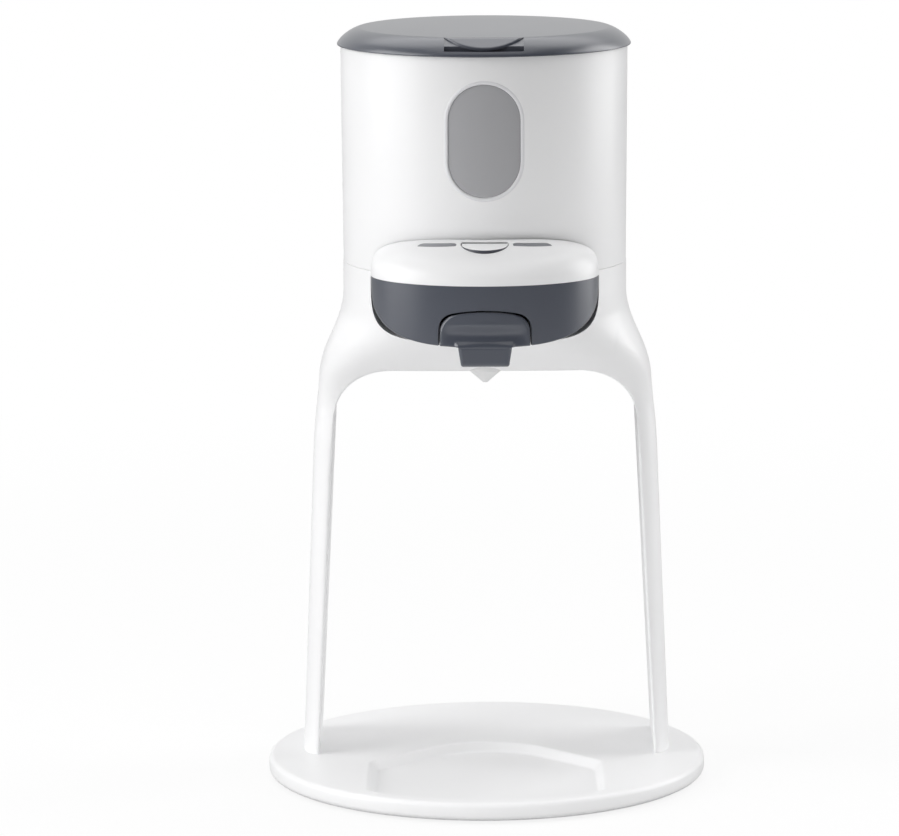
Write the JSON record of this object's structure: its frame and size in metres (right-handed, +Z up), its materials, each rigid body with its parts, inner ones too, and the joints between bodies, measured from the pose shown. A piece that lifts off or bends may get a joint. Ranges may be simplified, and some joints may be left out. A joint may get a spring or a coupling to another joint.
{
  "type": "baby formula maker",
  "caption": "Hand-worked baby formula maker: a powder canister on an arched stand, with a pull-out dosing drawer and press lever over a round base with a bottle recess.",
  "frame": {"origin": "centre of the underside, on the table, below the middle of the round base", "axes": "+Z up along the canister, -Y towards the user (lever side), +X to the right"},
  "size_m": [0.197, 0.197, 0.3382],
  "materials": {
    "white_shell": "gloss white injection-moulded shell",
    "slate_shell": "satin slate-grey moulding",
    "pale_plastic": "pale grey satin engineering plastic",
    "smoked_window": "smoke-tinted clear pane",
    "silicone": "soft translucent silicone",
    "black_rubber": "matt black rubber",
    "screw_steel": "zinc-plated steel",
    "spring_steel": "bright spring wire"
  },
  "bodies": {
    "stand": {"base_plate": "white_shell", "base_cover": "pale_plastic", "rubber_feet": "black_rubber", "base_screws": "screw_steel", "leg_screws": "screw_steel", "stand_frame": "white_shell", "head_underside": "white_shell", "underside_screws": "screw_steel", "outlet_funnel": "white_shell", "outlet_valve": "silicone", "head_deck": "white_shell", "deck_screws": "screw_steel", "inlet_gasket": "black_rubber"},
    "canister": {"canister_shell": "white_shell", "window_pane": "smoked_window", "window_frame": "pale_plastic", "canister_floor": "white_shell", "floor_bush": "pale_plastic"},
    "stirrer": {"stirrer": "pale_plastic", "drive_key": "slate_shell", "key_screw": "screw_steel"},
    "lid": {"lid_cap": "slate_shell", "lid_seal": "silicone"},
    "drawer": {"drawer_tray": "slate_shell", "drawer_shelf": "white_shell", "shelf_inlays": "slate_shell", "dosing_plate": "pale_plastic", "wheel_cover": "pale_plastic", "cover_screws": "screw_steel", "wheel_spindle": "screw_steel", "leveller": "black_rubber", "lever_pin": "screw_steel", "lever_spring": "spring_steel", "button_spring": "spring_steel"},
    "lever": {"lever": "slate_shell"},
    "rack": {"drive_rack": "pale_plastic"},
    "wheel": {"dosing_wheel": "white_shell", "ratchet_pinion": "screw_steel"},
    "button": {"release_button": "white_shell"}
  },
  "joints": [
    {"name": "canister_lift", "type": "slide", "parent": "stand", "child": "canister", "axis": [0, 0, 1], "range_m": [0, 0.06]},
    {"name": "lid_lift", "type": "slide", "parent": "canister", "child": "lid", "axis": [0, 0, 1], "range_m": [0, 0.03]},
    {"name": "drawer_slide", "type": "slide", "parent": "stand", "child": "drawer", "axis": [0, -1, 0], "range_m": [0, 0.125]},
    {"name": "lever_press", "type": "hinge", "parent": "drawer", "child": "lever", "pos_m": [0, -0.082, 0.22993], "axis": [1, 0, 0], "range_deg": [0, 22], "stiffness_Nm_per_rad": 0.3, "springref_deg": -14.32},
    {"name": "rack_push", "type": "slide", "parent": "drawer", "child": "rack", "axis": [0, 1, 0], "range_m": [0, 0.0067]},
    {"name": "wheel_turn", "type": "hinge", "parent": "drawer", "child": "wheel", "pos_m": [0, 0.008, 0.2167], "axis": [0, 0, 1], "range_deg": [0, 60.1]},
    {"name": "stirrer_turn", "type": "hinge", "parent": "canister", "child": "stirrer", "pos_m": [0, 0.008, 0.24], "axis": [0, 0, 1], "range_deg": [0, 60.1]},
    {"name": "button_press", "type": "slide", "parent": "drawer", "child": "button", "axis": [0, 0, -1], "range_m": [0, 0.002], "stiffness_N_per_m": 500, "springref_m": -0.003, "deforming": ["button_spring"]}
  ],
  "couplings": [
    {"joint": "rack_push", "follows": "lever_press", "m_per_rad": 0.017181},
    {"joint": "wheel_turn", "follows": "lever_press", "ratio": 2.7273},
    {"joint": "stirrer_turn", "follows": "lever_press", "ratio": 2.7273}
  ]
}
